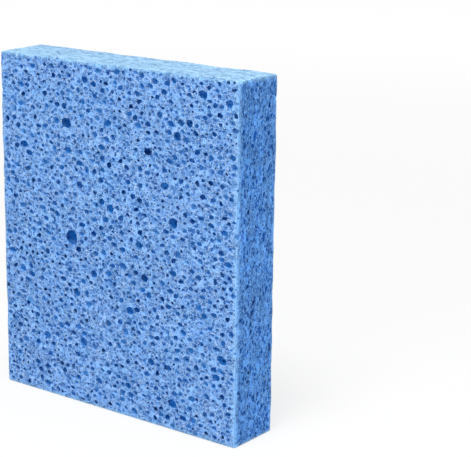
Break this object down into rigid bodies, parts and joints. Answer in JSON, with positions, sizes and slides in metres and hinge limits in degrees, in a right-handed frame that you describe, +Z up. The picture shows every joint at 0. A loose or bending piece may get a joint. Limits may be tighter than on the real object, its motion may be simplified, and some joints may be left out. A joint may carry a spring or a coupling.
{
  "type": "cleaning sponge",
  "caption": "Rectangular block of foamed cellulose for washing and wiping, open with round bubbles of many sizes on every face.",
  "frame": {"origin": "middle of the narrow base that the sponge stands on", "axes": "+X along the width of the broad face, -Y out of the front broad face, +Y through the thickness, +Z up along the height"},
  "size_m": [0.11, 0.022, 0.128],
  "materials": {
    "cellulose": "matt, open-celled, pale blue skeleton with darker blue bubbles"
  },
  "bodies": {
    "root": {"sponge": "cellulose"}
  },
  "joints": []
}
